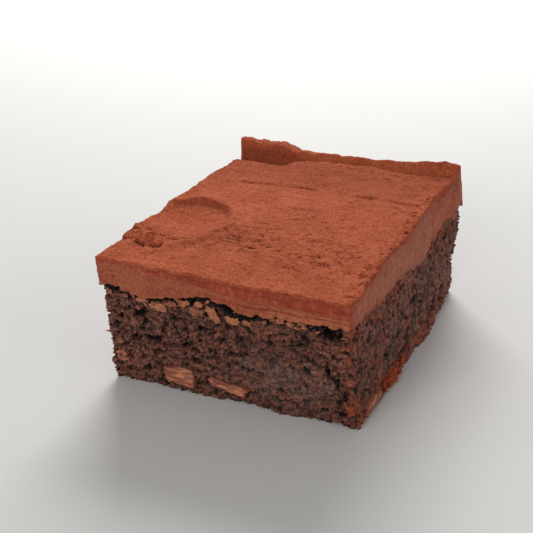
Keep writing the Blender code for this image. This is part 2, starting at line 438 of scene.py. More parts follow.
def cocoa_material(name):
    p = Paint(name)
    cocoa_shade_tone, rough, smear = p.tone()
    broad = p.noise(9.0, 4.0)
    mid = p.noise(1.6, 4.0, 0.6)
    fine = p.noise(0.42, 3.0, 0.7)
    grit = p.noise(0.9, 5.0, 0.75)
    base = p.blend(p.ramp(broad, 0.35, 0.65), COCOA_MID, COCOA_LIGHT)
    base = p.blend(p.ramp(mid, 0.35, 0.72, 0.0, 0.35), base, COCOA_LIGHT)
    base = p.blend(p.ramp(grit, 0.51, 0.60, 0.0, 0.50), base, COCOA_DARK)
    base = p.blend(p.ramp(fine, 0.54, 0.64, 0.0, 0.46), base, COCOA_DARK)
    pale = p.noise(0.66, 5.0, 0.75)
    base = p.blend(p.ramp(pale, 0.52, 0.60, 0.0, 0.50), base, COCOA_PALE)
    # the first tone darkens the powder: painted shade in hollows, cracks, creases and under the back roll on the top,
    # and the own darker tone of grains and clumps
    base = p.blend(p.math("MULTIPLY", cocoa_shade_tone, 0.75), base, COCOA_DARK)
    base = p.blend(p.ramp(cocoa_shade_tone, 0.55, 1.0, 0.0, 0.8), base, COCOA_PAINTED_SHADE)
    base = p.blend(p.math("MULTIPLY", smear, 0.8), base, SMEAR)
    p.colour(base)
    p.roughness(0.95)
    p.set(Specular_IOR_Level=0.08, Sheen_Weight=0.06, Sheen_Roughness=0.6)
    p.shader.inputs["Sheen Tint"].default_value = (0.9, 0.5, 0.38, 1.0)
    p.bumps((mid, 0.50, 0.42), (grit, 0.85, 0.45), (fine, 1.0, 0.25))
    return p.mat


def ganache_material():
    p = Paint("ganache_finish")
    smear, tan, dark = p.tone()
    broad = p.noise(7.0, 3.0)
    streak = p.noise(1.2, 3.0, 0.6, p.stretched(0.16, 0.16, 1.0))
    fine = p.noise(0.5, 3.0, 0.6)
    base = p.blend(p.ramp(broad, 0.35, 0.65, 0.0, 0.35), GANACHE_MID, GANACHE_TAN)
    base = p.blend(p.math("MULTIPLY", tan, 0.9), base, GANACHE_TAN)
    base = p.blend(p.ramp(streak, 0.45, 0.75, 0.0, 0.30), base, GANACHE_DARK)
    speck = p.noise(0.9, 4.0, 0.7)
    base = p.blend(p.ramp(speck, 0.51, 0.58, 0.0, 0.55), base, GANACHE_DARK)
    light = p.noise(0.8, 4.0, 0.7)
    base = p.blend(p.ramp(light, 0.53, 0.60, 0.0, 0.55), base, GANACHE_TAN)
    strokes = p.noise(1.0, 4.0, 0.65, p.stretched(1.0, 1.0, 0.22))
    drawn = p.noise(1.3, 3.0, 0.6, p.stretched(0.12, 0.12, 1.0))
    red = p.blend(p.ramp(strokes, 0.50, 0.58, 0.0, 0.75), SMEAR, SMEAR_LIGHT)
    red = p.blend(p.ramp(drawn, 0.52, 0.60, 0.0, 0.65), red, SMEAR_DARK)
    base = p.blend(smear, base, red)
    base = p.blend(dark, base, GANACHE_DARK)
    p.colour(base)
    p.roughness(p.ramp(fine, 0.3, 0.7, 0.52, 0.66))
    p.set(Specular_IOR_Level=0.22)
    p.bumps((streak, 0.18, 0.25), (fine, 0.35, 0.14))
    return p.mat


def crumb_material(name="crumb_finish"):
    p = Paint(name)
    high, dust, fudge = p.tone()
    broad = p.noise(6.0, 3.0)
    mid = p.noise(1.1, 4.0, 0.6)
    fine = p.noise(0.35, 3.0, 0.65)
    # the first tone is painted light and shade by height: near-black in pores, gaps and clefts, lighter on raised
    # crumb
    base = p.blend(p.ramp(high, 0.0, 0.42), CRUMB_SHADE_AND_SPECK, CRUMB_DARK)
    base = p.blend(p.ramp(high, 0.34, 1.0), base, CRUMB_MID)
    # lighter and redder flecks only on raised crumb, following the painted light
    base = p.blend(p.math("MULTIPLY", p.ramp(mid, 0.51, 0.62, 0.0, 0.60), high), base, CRUMB_LIGHT)
    base = p.blend(p.math("MULTIPLY", p.ramp(fine, 0.52, 0.60, 0.0, 0.55), high), base, CRUMB_RED)
    dark = p.noise(0.75, 4.0, 0.7)
    base = p.blend(p.ramp(dark, 0.51, 0.58, 0.0, 0.75), base, CRUMB_SHADE_AND_SPECK)
    base = p.blend(p.ramp(broad, 0.46, 0.68, 0.0, 0.42), base, CRUMB_DARK)
    # painted reflection: grey glints on the fudgy patches
    base = p.blend(p.math("MULTIPLY", p.ramp(mid, 0.45, 0.60, 0.22, 0.66), fudge), base, CRUMB_PAINTED_GLINT)
    base = p.blend(dust, base, COCOA_MID)
    # painted shade: the deepest pores and gaps go near-black
    base = p.blend(p.ramp(high, 0.0, 0.16, 0.95, 0.0), base, CRUMB_SHADE_AND_SPECK)
    p.colour(base)
    gloss = p.math("MULTIPLY", p.ramp(mid, 0.35, 0.7), fudge)
    p.roughness(p.ramp(gloss, 0.0, 1.0, 0.60, 0.26))
    p.set(Specular_IOR_Level=0.28)
    p.bumps((mid, 0.35, 0.35), (fine, 0.75, 0.18))
    return p.mat


def chocolate_material():
    p = Paint("chocolate_finish")
    high, edge, spare = p.tone()
    streak = p.noise(0.9, 4.0, 0.6, p.stretched(0.22, 0.22, 1.0))
    fine = p.noise(0.4, 3.0, 0.6)
    blot = p.noise(1.6, 4.0, 0.65)
    base = p.blend(p.ramp(streak, 0.38, 0.66), CHOC_DARK, CHOC_MID)
    base = p.blend(p.ramp(blot, 0.50, 0.66, 0.0, 0.7), base, CHOC_DARK)
    base = p.blend(p.math("MULTIPLY", edge, 0.8), base, CHOC_DARK)
    base = p.blend(p.ramp(fine, 0.60, 0.78, 0.0, 0.35), base, CRUMB_MID)
    p.colour(base)
    p.roughness(0.5)
    p.set(Specular_IOR_Level=0.45)
    p.bumps((streak, 0.35, 0.3), (fine, 0.2, 0.1))
    return p.mat


def flake_material():
    p = Paint("flake_finish")
    shade, spare, other = p.tone()
    mid = p.noise(0.8, 3.0, 0.6)
    base = p.blend(shade, FLAKE_DARK, FLAKE_TAN)
    base = p.blend(p.ramp(mid, 0.5, 0.75, 0.0, 0.5), base, FLAKE_DARK)
    p.colour(base)
    p.roughness(0.6)
    p.bumps((mid, 0.4, 0.15))
    return p.mat


cocoa_mat = cocoa_material("cocoa_finish")
ganache_mat = ganache_material()
crumb_mat = crumb_material()
chocolate_mat = chocolate_material()
flake_mat = flake_material()


# ----------------------------------------------------------------------- crumb
def seam_gap(x):
    """How far the crumb under the front of the ganache has come away, 0 to 1."""
    return np.clip(
        1.1 * bump(x - 3.2, 6.0)
        + 0.7 * bump(x - 12.6, 1.7)
        + 0.6 * bump(x - 17.0, 1.7)
        + 0.9 * bump(x - 28.9, 2.9)
        + 0.50 * bump(x + 20.5, 8.0)
        + 0.45 * bump(x + 7.4, 3.0)
        + 0.40 * bump(x + 30.5, 2.4),
        0,
        1,
    )


def front_foot(x, seam):
    """Lower edge of the ganache along the front cut."""
    return seam + 0.15 - 0.9 * bump(x - 7.0, 4.2) - 0.5 * bump(x - 13.2, 1.2)


# holes in the front cut: x, z, half width, half height, depth
FRONT_HOLES = (
    (-19.9, 14.6, 1.5, 1.0, 2.6),
    (-22.3, 14.9, 1.2, 0.8, 1.8),
    (-17.6, 13.6, 1.1, 0.6, 1.5),
    (-8.4, 14.2, 1.4, 0.6, 1.8),
    (-11.4, 14.6, 1.1, 0.9, 1.9),
    (-5.5, 20.9, 1.6, 0.6, 1.5),
    (-12.3, 22.6, 1.7, 0.5, 1.3),
    (-24.2, 22.0, 1.6, 1.0, 1.8),
    (-29.6, 20.2, 0.8, 0.9, 1.4),
    (-31.2, 17.6, 0.7, 0.7, 1.2),
    (28.9, 26.8, 2.7, 1.5, 3.0),
    (26.4, 26.2, 1.3, 0.8, 2.0),
    (31.4, 26.6, 1.2, 0.9, 2.0),
    (13.0, 4.5, 0.9, 0.7, 1.3),
    (30.8, 3.4, 1.4, 0.8, 1.8),
    (33.0, 4.9, 0.9, 0.7, 1.4),
    (27.6, 15.6, 0.7, 1.6, 1.2),
    (30.2, 12.6, 0.6, 1.5, 1.1),
    (20.4, 8.6, 1.2, 0.4, 0.9),
    (3.2, 3.0, 1.6, 0.5, 1.0),
)


# chocolate in the front cut: x, z, length, height, tilt in degrees
CHOC_FRONT = (
    (-14.0, 4.6, 9.2, 5.4, 4.0),
    (-0.2, 4.4, 11.0, 2.8, -10.0),
)


def build_crumb():
    cols = (286, 244, 116, 142)
    rows = 98
    a, b, side = rim(*cols)
    n = len(a)
    x0, y0 = a * WIDTH / 2, b * DEPTH / 2
    top = seam_height(x0, y0)
    t = np.linspace(0, 1, rows)[:, None]
    z = t * top[None, :]
    A = np.broadcast_to(a, z.shape)
    B = np.broadcast_to(b, z.shape)
    S = np.broadcast_to(side, z.shape)
    x, y = onto(A, B, z, CRUMB_INSET)
    base = np.stack([x, y, z], axis=-1)
    normal = side_normals(base)

    front = (S == 0).astype(float)
    right = (S == 1).astype(float)
    # soft change from the torn front to the smoother right cut
    corner = ease((y + 41.5) / 5.0) * right
    rough = 1.0 - 0.78 * corner
    p = base + 0.35 * np.stack(
        [noise(base, 1.7, 21), noise(base, 1.7, 22), noise(base, 1.7, 23)], axis=-1
    )

    fudge = front * bump((x - 15) / 13.0, 1.0) * bump((z - 10.5) / 6.5, 1.0)
    fudge = fudge + right * (0.20 * ease((y + 38) / 8.0))
    fudge = np.clip(fudge * (0.75 + 0.9 * noise(base, 5.0, 31)), 0, 1)

    broad = layered(base, 9.0, 2, 41)
    far_right = right * ease((y - 6.0) / 14.0)
    f1, f2, _ = cells(p, 2.3, 5)
    g1, g2, _ = cells(p, 1.05, 6)
    h1, _, _ = cells(p, 0.62, 8)
    lumps = dome(f1, 0.85) - 0.55
    grains = dome(g1, 0.85) - 0.55
    specks = dome(h1, 0.85) - 0.55
    torn = 0.5 + 0.5 * ease((noise(base, 5.0, 42) + 0.35) / 0.6)
    cleft_a = ease((0.17 - (f2 - f1)) / 0.17) * torn
    cleft_b = ease((0.20 - (g2 - g1)) / 0.20) * torn
    soft = 1.0 - 0.60 * fudge
    d = (0.42 + 0.75 * far_right) * broad * (0.5 + 0.5 * rough)
    patchy = 0.35 + 0.65 * ease((noise(base, 6.5, 43) + 0.25) / 0.5)
    d = d + 0.42 * lumps * rough * soft * patchy
    d = d + 0.30 * grains * (0.35 + 0.65 * rough) * soft
    d = d + 0.16 * specks * (0.5 + 0.5 * rough)
    fibre = np.array([0.55, 0.55, 1.2])
    d = d + 0.28 * layered(base * fibre, 1.6, 4, 51, 0.62) * (0.4 + 0.6 * rough)
    d = d - (0.42 * cleft_a + 0.20 * cleft_b) * rough * soft * patchy

    # vertical knife lines on the right cut
    lines = layered(base * np.array([1.0, 1.0, 0.12]), 1.1, 3, 61, 0.6)
    d = d + 0.14 * lines * corner
    far_hole = ease((layered(base, 3.2, 3, 62, 0.6) - 0.42) / 0.14) * corner
    d = d - 1.3 * far_hole

    # pores: more and bigger on the left half of the front
    wide = base * np.array([0.68, 0.68, 1.25])
    pore_a = ease((layered(wide, 2.1, 4, 71, 0.6) - 0.44) / 0.10)
    pore_b = ease((layered(wide, 1.1, 3, 81, 0.6) - 0.44) / 0.10)
    leftish = 0.45 + 0.55 * ease((8.0 - x) / 22.0)
    amount = np.where(S == 0, leftish, np.where(S == 1, 0.22, 0.5))
    pores = np.clip(pore_a * amount * 1.4 + 0.75 * pore_b * amount, 0, 1.6) * (
        1 - 0.7 * fudge
    )
    holes = np.zeros_like(z)
    wobble = 0.45 * noise(base, 1.3, 91)
    for hx, hz, half_w, half_h, depth in FRONT_HOLES:
        r = np.hypot((x - hx) / half_w, (z - hz) / half_h) + wobble
        holes = np.maximum(holes, 1.3 * depth * ease((1.15 - r) / 0.32) * front)
    d = d - 1.7 * pores - holes

    # the crumb falls back where the crust has come away below the ganache
    lower = np.where(side == 0, front_foot(x0, top), top)
    below = lower[None, :] - z
    thick = 0.35 + 1.0 * bump(x - 3.2, 6.2)
    gap = seam_gap(x) * front + 0.25 * (1 - front) * np.clip(
        noise(base, 4.0, 95) + 0.2, 0, 1
    )
    gap = gap * (0.8 + 0.6 * noise(base, 1.4, 97))
    d = d - 4.6 * gap * ease((thick + 0.7 - below) / 0.6)
    d = d - 0.5 * ease((0.9 - below) / 0.9)

    # ragged foot: bits missing along the lower edge, with the flat still flat
    foot = ease((2.4 - z) / 2.4)
    d = d - foot * (0.10 + 0.75 * np.clip(noise(base, 2.2, 99), -0.2, 1.0))
    # the crumb stays back from the chocolate pieces
    for cx, cz, length, tall, tilt in CHOC_FRONT:
        turn = math.radians(tilt)
        cu = (x - cx) * math.cos(turn) + (z - cz) * math.sin(turn)
        cv = -(x - cx) * math.sin(turn) + (z - cz) * math.cos(turn)
        r = np.maximum(np.abs(cu) / (length / 2), np.abs(cv) / (tall / 2))
        over = front * ease((1.12 - r + 0.10 * noise(base, 1.2, 98)) / 0.14)
        d = np.where(over > 0, mix(d, np.minimum(d, -0.9), over), d)
    d = np.clip(d, -4.2, 0.95)

    place = base + normal * d[..., None]
    sway = 0.12 * rough[..., None] * np.stack(
        [noise(base, 0.8, 101), noise(base, 0.8, 102), noise(base, 0.8, 103)], axis=-1
    )
    inner = ((z > 0.6) & (below > 0.4)).astype(float)[..., None]
    place = place + sway * inner
    place[0, :, 2] = 0.0
    place[..., 2] = np.maximum(place[..., 2], 0.0)

    # painted light and shade from the relief: raised crumb lighter, pores, holes and clefts darker
    high = np.clip(0.68 + 0.85 * (d - 0.4 * broad), 0.0, 1.0)
    # painted shade in the gap where the crumb has come away, and in a band just below the ganache on the front
    high = high * np.clip(1 - 1.6 * gap * ease((thick + 0.8 - below) / 0.6), 0, 1)
    thin = 1.0 + 1.9 * np.clip(seam_gap(x), 0, 1) + 0.9 * noise(base, 2.0, 96)
    high = high * (1 - 0.97 * front * ease((thin - below) / 0.3))
    # painted highlight on the raised knife lines of the right cut
    high = np.clip(high + 0.30 * lines * corner, 0, 1)
    dust = np.zeros_like(z)
    # red cocoa along the front right corner, its foot, and below the smear
    speck = ease((noise(base, 1.5, 111) + 0.05) / 0.25)
    speck_fine = ease((noise(base, 0.8, 112) - 0.05) / 0.25)
    edge = bump((y + 41) / 3.4, 1.0) * right + bump((x - 35) / 2.2, 1.0) * front
    dust = dust + 0.75 * edge * speck * ease((z - 3) / 4.0)
    dust = dust + 0.7 * right * bump((z - 1.5) / 2.6, 1.0) * speck
    patch = ease((layered(base * np.array([1, 1, 0.55]), 4.5, 4, 121, 0.6) - 0.10) / 0.3)
    dust = dust + 0.65 * right * patch * speck_fine
    high_up = ease((z - top[None, :] + 9.0) / 6.0)
    dust = dust + 0.45 * right * high_up * speck_fine
    dust = dust + 0.30 * (S == 3) * speck_fine * patch + 0.3 * (S == 2) * patch * speck
    dust = dust + 0.20 * front * speck_fine * ease((noise(base, 3.0, 131) - 0.1) / 0.3)
    dust = np.clip(dust, 0, 1)
    tones = np.stack([high, dust, fudge], axis=-1)

    # caps: rings towards the middle, above (hidden) and below
    def rings(edge_row, z_of, scales):
        centre = np.array([0.4, 0.0])
        made = []
        for s in scales:
            ring = edge_row.copy()
            ring[:, :2] = centre + (ring[:, :2] - centre) * s
            ring[:, 2] = z_of(ring[:, 0], ring[:, 1], s)
            made.append(ring)
        return made

    upper = rings(
        place[-1], lambda u, v, s: seam_height(u, v) - 0.1, (0.97, 0.9, 0.75, 0.5, 0.2)
    )
    pitted = lambda u, v, s: np.clip(
        0.5 * noise(np.stack([u, v, 0 * u], -1), 2.4, 141) - 0.22, 0, 0.6
    ) * (1.0 if s < 0.995 else 0.0)
    lower = rings(
        place[0],
        pitted,
        (0.98, 0.955, 0.92, 0.875, 0.82, 0.75, 0.65, 0.52, 0.36, 0.18),
    )
    stack = np.stack(lower[::-1] + [row for row in place] + upper)
    total = len(stack)
    pad_low = np.tile(
        np.array([[0.35, 0.12, 0.2]]), (len(lower) * n, 1)
    )
    pad_high = np.tile(np.array([[0.3, 0.0, 0.0]]), (len(upper) * n, 1))
    all_tones = np.concatenate([pad_low, tones.reshape(-1, 3), pad_high])
    quads = wrap_faces(total, n)
    caps = [list(range(n - 1, -1, -1)), [(total - 1) * n + i for i in range(n)]]
    obj = piece("crumb_cake", stack, quads, caps, tones=all_tones, mat=crumb_mat)
    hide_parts("crumb")
    return place, normal, side


crumb_surface, crumb_normals, crumb_sides = build_crumb()


# --------------------------------------------------------------------- ganache
def ganache_foot(x, y, side):
    """Lower edge of the ganache, which the knife dragged down the right cut."""
    seam = seam_height(x, y)
    front = front_foot(x, seam)
    drag = 1.1 + 2.6 * bump(y - 12.0, 13.0) + 1.0 * bump(y + 18.0, 8.0)
    right = seam - drag * ease((y + 41.0) / 6.0)
    left = seam - 0.5 - 0.7 * bump(y + 8.0, 12.0)
    back = seam - 0.9 - 0.8 * bump(x - 8.0, 14.0)
    return np.choose(side, [front, right, back, left])


def build_ganache():
    a, b, side = rim(210, 236, 110, 140)
    n = len(a)
    rows = 36
    x0, y0 = a * WIDTH / 2, b * DEPTH / 2
    low = ganache_foot(x0, y0, side)
    edge = np.stack([x0, y0, 0 * x0], -1)
    low = low + 0.42 * noise(edge, 2.6, 201) + 0.30 * noise(edge, 0.95, 202)
    low = low + np.where(side == 1, 0.9 * noise(edge, 3.2, 203), 0.0)
    high = top_height(x0, y0) - 0.45
    t = np.linspace(0, 1, rows)[:, None]
    z = mix(low[None, :], high[None, :], t)
    A, B, S = (np.broadcast_to(v, z.shape) for v in (a, b, side))
    x, y = onto(A, B, z, 0.05)
    base = np.stack([x, y, z], axis=-1)
    normal = side_normals(base)
    front, right = (S == 0).astype(float), (S == 1).astype(float)

    up = z - low[None, :]
    d = 0.22 * noise(base, 8.0, 211) + 0.07 * noise(base, 1.6, 212)
    d = d + 0.05 * noise(base * np.array([0.15, 0.15, 1.0]), 0.7, 213)
    # granular lower edge
    grain = ease((1.6 - up) / 1.4)
    g1, _, _ = cells(base, 0.75, 214)
    d = d + grain * (0.42 * (dome(g1, 0.9) - 0.6) - 0.15 * right)
    d = d + 0.10 * layered(base, 1.0, 3, 216, 0.65)
    # the dragged skirt thins out over the crumb
    d = d - right * 0.55 * ease((2.2 - up) / 2.2)
    # small chips out of the lower edge at the front
    chip = ease((noise(base, 2.0, 215) - 0.15) / 0.25)
    d = d - front * 0.7 * chip * ease((1.3 - up) / 1.0)
    place = base + normal * d[..., None]

    # cocoa dragged down from the top by the knife
    reach = 1.7 + 2.7 * ease((x + 30.0) / 42.0)
    down = top_height(x, y) - z
    band = ease((reach - down + 0.25 * noise(base * np.array([0.2, 1, 1]), 0.9, 221)) / 0.7)
    gap_at = reach + 0.75 + 0.25 * noise(base * np.array([0.2, 1, 1]), 2.5, 226)
    second = ease((x + 6.0) / 10.0) * ease((down - gap_at) / 0.25)
    second = second * ease((gap_at + 1.15 - 0.5 * ease((x - 18) / 14.0) - down) / 0.3)
    fray = 0.55 + 0.6 * ease((noise(base * np.array([1.0, 1.0, 0.35]), 1.0, 227) + 0.5) / 0.6)
    smear = front * np.clip(band * fray + 0.8 * second * fray, 0, 1)
    side_drag = ease(
        (noise(base * np.array([1, 1, 0.22]), 1.6, 222) + 0.35 - 0.12 * down) / 0.35
    )
    smear = smear + right * np.clip(
        0.35 * side_drag + 0.95 * ease((1.5 + 1.0 * noise(base * np.array([1, 1, 0.3]), 2.4, 228) - down) / 0.5), 0, 1
    )
    smear = smear + right * 0.9 * bump((y + 41) / 2.2, 1.0)
    mottle = ease((layered(base * np.array([1, 1, 0.7]), 1.8, 4, 229, 0.65) - 0.02) / 0.14)
    smear = smear + right * mottle * (0.22 + 0.55 * ease((3.2 - down) / 2.4))
    flick = ease((layered(base, 5.0, 2, 223) - 0.12) / 0.2)
    smear = smear + right * 0.55 * flick * ease((y - 14) / 10.0)
    smear = smear + ((S == 3) | (S == 2)) * ease((1.6 - down + 0.8 * noise(base, 3, 224)) / 0.8)
    tan = front * (
        ease((x - 4) / 16.0) * ease((4.0 - up) / 2.6) + 0.5 * ease((1.2 - up) / 1.0)
    )
    tan = tan + right * 0.85 * bump((up - 4.5) / 3.5, 1.0)
    tan = tan + front * 0.9 * second * 0 + front * 0.6 * ease((x + 6) / 10) * bump((down - reach - 0.4) / 0.3, 1.0)
    # two thin lines that the knife left on the right half of the front
    line = 0.0
    for start, drop in ((0.35, 0.0), (1.35, 0.35)):
        at = reach + start - 0.035 * (x - 5.0) * (1.0 if start > 1 else 0.4) + drop
        line = line + bump((down - at) / 0.17, 1.0)
    line = line * front * ease((x + 8.0) / 14.0) * (0.6 + 0.6 * noise(base, 4.0, 225))
    place = place + normal * (-0.10 * np.clip(line, 0, 1))[..., None]
    tones = np.stack(
        [np.clip(smear, 0, 1), np.clip(tan, 0, 1), np.clip(0.75 * line, 0, 1)], axis=-1
    )

    # underside: a lip that turns in, then rises to the seam
    centre = np.array([0.0, 0.0])
    inner = []
    for s, lift in ((0.985, 0.2), (0.955, 1.0), (0.7, 1.0), (0.3, 1.0)):
        ring = place[0].copy()
        ring[:, :2] = centre + (ring[:, :2] - centre) * s
        target = seam_height(ring[:, 0], ring[:, 1]) + 0.3
        ring[:, 2] = mix(ring[:, 2], target, lift)
        inner.append(ring)
    over = []
    for s, drop in ((0.985, 0.9), (0.965, 4.3), (0.6, 4.3)):
        ring = place[-1].copy()
        ring[:, :2] = centre + (ring[:, :2] - centre) * s
        flat = TOP - drop
        ring[:, 2] = np.minimum(ring[:, 2] - 0.3, flat) if drop > 1 else ring[:, 2] - drop
        over.append(ring)
    stack = np.stack(inner[::-1] + [r for r in place] + over)
    pad = lambda k: np.tile(np.array([[0.0, 0.3, 0.0]]), (k * n, 1))
    all_tones = np.concatenate([pad(4), tones.reshape(-1, 3), pad(3)])
    total = len(stack)
    caps = [list(range(n - 1, -1, -1)), [(total - 1) * n + i for i in range(n)]]
    obj = piece(
        "ganache_slab", stack, wrap_faces(total, n), caps, tones=all_tones, mat=ganache_mat
    )
    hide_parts("ganache")


build_ganache()


# ----------------------------------------------------------------------- cocoa
def powder_height(x, y):
    """The top with its spoon mark, ledges, creases and powder, how rough each
    place is, and how much each place is darkened, mostly painted shade."""
    z = top_height(x, y)
    p = np.stack([x, y, 0 * x], axis=-1)
    wob = 1.1 * noise(p, 6.0, 301)
    r = np.hypot(
        (x - HOLLOW_AT[0]) / HOLLOW_RADII[0], (y - HOLLOW_AT[1]) / HOLLOW_RADII[1]
    )
    angle = np.arctan2(y - HOLLOW_AT[1], x - HOLLOW_AT[0])
    # steep far side of the spoon mark and a crest on its near side
    far = ease((np.sin(angle) - 0.15) / 0.5) * ease((x + 36) / 6.0)
    z = z - 1.15 * far * ease((1.02 - r + 0.03 * wob) / 0.11)
    # painted shade on the spoon mark's far wall, which faces away from the light
    shade_far = far * bump((r - 0.93) / 0.09, 1.0) * (0.5 + 0.5 * ease((x + 30.0) / 8.0))
    near = ease((-np.sin(angle) - 0.2) / 0.4) * ease((x + 23.0) / 6.0)
    z = z + 0.55 * near * bump((r - 1.05 + 0.02 * wob) / 0.085, 1.0)
    # the crest runs on to the front left
    d, t, s = near_line(x + 0.6 * wob, y, -24.5, -35.0, -16.2, -27.0)
    z = z + 0.45 * bump(d / 1.3, 1.0)

    # broken ledges: what is behind stands higher and crumbles
    rough = 0.0 * x
    # the painted shade starts with that far wall
    painted_shade_and_tone = 0.42 * shade_far
    jag = 0.55 * noise(p, 1.9, 311) + 0.30 * noise(p, 0.8, 313) + 0.16 * noise(p, 0.4, 314)
    uneven = 0.55 + 0.75 * noise(p, 1.7, 315)
    for ax, ay, bx, by, lift in (
        (-35.5, -29.2, -31.0, -29.0, 0.75),
        (-30.2, -30.2, -25.8, -31.3, 1.1),
        (-25.4, -31.2, -21.4, -30.2, 0.9),
        (-24.0, -24.4, -20.2, -25.2, 0.7),
        (-20.4, -25.4, -16.4, -25.5, 0.9),
        (-34.5, -24.6, -32.0, -24.0, 0.5),
        (-30.0, -24.2, -27.6, -23.8, 0.45),
        (-27.4, -22.6, -24.8, -22.9, 0.4),
        (-29.0, -27.0, -26.2, -26.6, 0.45),
        (-31.8, -21.4, -29.4, -21.0, 0.4),
    ):
        d, t, s = near_line(x, y + jag, ax, ay, bx, by)
        behind = -s  # distance behind the line
        span = ease(t / 0.16) * ease((1 - t) / 0.16)
        z = z + lift * uneven * span * ease(behind / 0.3) * ease((5.0 - behind) / 4.4)
        # painted shade in the cleft at the foot of each ledge
        cleft = span * bump((behind + 0.22) / 0.30, 1.0)
        painted_shade_and_tone = painted_shade_and_tone + 1.3 * cleft * min(1.0, lift + 0.2)
        z = z - 0.95 * lift * cleft
        rough = rough + 0.6 * span * ease(behind / 0.4) * ease((4.5 - behind) / 3.0)
    crumbly = bump((x + 29.0) / 5.5, 1.0) * bump((y + 25.8) / 4.6, 1.0)
    rough = np.clip(0.7 * rough + 0.9 * crumbly, 0, 1.2)
    warped = p + 0.45 * np.stack(
        [noise(p, 1.3, 316), noise(p, 1.3, 317), 0 * x], axis=-1
    )
    c1, c2, _ = cells(warped * np.array([0.75, 1.0, 1.0]), 1.25, 312)
    z = z + rough * (0.16 * dome(c1, 0.8) - 0.10)
    z = z + rough * 0.42 * layered(warped * np.array([0.7, 1.0, 1.0]), 1.3, 4, 319, 0.65)
    split = ease((0.13 - np.abs(noise(warped * np.array([0.55, 1.0, 1.0]), 1.25, 320))) / 0.13)
    z = z - 0.38 * rough * split
    # painted shade in the splits and between the crumbled lumps
    painted_shade_and_tone = painted_shade_and_tone + rough * (0.75 * split + 0.35 * ease((c1 - 0.66) / 0.2))

    # lumpy field in the middle and along the right edge
    field = bump((x + 4.0) / 15.0, 1.0) * bump((y + 20.0) / 7.5, 1.0)
    field = field + 0.8 * bump((x - 21.0) / 12.0, 1.0) * bump((y + 24.0) / 10.0, 1.0)
    field = field + 1.2 * ease((x - 29.5) / 4.0) * ease((30 - y) / 10.0)
    field = field + 0.45 * bump((x - 10) / 22.0, 1.0) * bump((y + 4) / 14.0, 1.0)
    inside = ease((1.0 - r) / 0.2)
    field = np.clip(field, 0.20, 1.0) * (1 - 0.85 * inside)
    wide = p * np.array([0.55, 1.0, 1.0])
    k1, k2, _ = cells(wide + 0.35 * noise(p, 1.1, 321)[..., None], 0.95, 322)
    m1, _, _ = cells(wide, 0.55, 323)
    z = z + field * (0.26 * (dome(k1, 0.85) - 0.5) + 0.16 * (dome(m1, 0.85) - 0.5))
    z = z + (0.10 + 0.26 * field) * layered(wide, 2.6, 5, 331, 0.62)
    # fine cracks and rows in the powder
    rows = p * np.array([0.42, 1.0, 1.0]) + 0.25 * noise(p, 2.2, 325)[..., None]
    crack_a = ease((0.12 - np.abs(noise(rows, 1.5, 326))) / 0.12)
    crack_b = ease((0.15 - np.abs(noise(rows, 0.85, 327))) / 0.15)
    broken = ease((noise(p, 2.4, 328) + 0.10) / 0.4)
    z = z - (0.44 * crack_a + 0.30 * crack_b) * broken * (0.16 + 0.95 * field)
    z = z + 0.07 * noise(p, 0.7, 341) + 0.05 * noise(p, 0.45, 343)
    z = z + 0.10 * noise(p * np.array([0.5, 1, 1]), 3.0, 342)
    # painted shade between the lumps and in the cracks of the powder
    painted_shade_and_tone = painted_shade_and_tone + field * ease((k1 - 0.60) / 0.25) * 0.45
    painted_shade_and_tone = painted_shade_and_tone + 1.0 * np.maximum(crack_a, 0.8 * crack_b) * broken * (0.12 + 0.9 * field)
    # darker towards the back, behind the spoon mark, and in the rough zone
    painted_shade_and_tone = painted_shade_and_tone + 0.34 * ease((y - 9.0) / 16.0) * ease((36.6 - y) / 2.0)
    zone = bump((x + 6.0) / 13.0, 1.0) * bump((y + 20.5) / 5.5, 1.0)
    painted_shade_and_tone = painted_shade_and_tone + zone * (0.16 + 0.22 * ease((noise(wide, 1.0, 329) + 0.05) / 0.3))

    # creases: a long one across the back and short wrinkles at the right
    for ax, ay, bx, by, depth, width in (
        (-24.0, 15.6, -10.0, 17.6, 0.40, 0.55),
        (-10.0, 17.6, 3.0, 18.0, 0.28, 0.6),
        (12.5, 17.4, 21.0, 17.7, 0.35, 0.6),
        (21.0, 17.4, 33.5, 17.0, 0.28, 0.6),
        (24.0, 14.2, 34.5, 9.8, 0.26, 0.6),
        (-1.0, 3.0, 9.0, 3.6, 0.18, 0.7),
    ):
        d, t, s = near_line(x, y + 0.35 * noise(p, 3.0, 351), ax, ay, bx, by)
        fade = ease(t / 0.2) * ease((1 - t) / 0.2)
        z = z - depth * fade * bump(d / width, 1.0)
        z = z + 0.5 * depth * fade * bump((s + 1.3) / 0.9, 1.0) * (d < 4)
        # painted shade in each crease
        painted_shade_and_tone = painted_shade_and_tone + 0.35 * fade * bump(d / width, 1.0)
    along = np.stack([x, 0 * x, 0 * x], axis=-1)
    crest = ease((y - 38.2) / 1.5)
    z = z + 0.85 * ease((y - 32.5) / 6.0) * ease((40.2 - y) / 1.4) * ease((x + 9.0) / 7.0)
    z = z + crest * (0.45 * noise(along, 7.0, 363) + 0.28 * noise(along, 3.2, 364))
    z = z + crest * 0.16 * noise(p, 1.4, 365)
    # a crease where the lip starts, deep below its left end, with painted shade in it
    at = 37.3 - 1.2 * ease((x - 8.0) / 16.0)
    fold = bump((y - at - 0.2 * noise(p, 4.0, 361)) / (0.45 + 0.5 * ease((-10 - x) / 6)), 1.0)
    z = z - 0.22 * fold
    painted_shade_and_tone = painted_shade_and_tone + fold * (0.35 + 0.15 * ease((-8.0 - x) / 8.0))
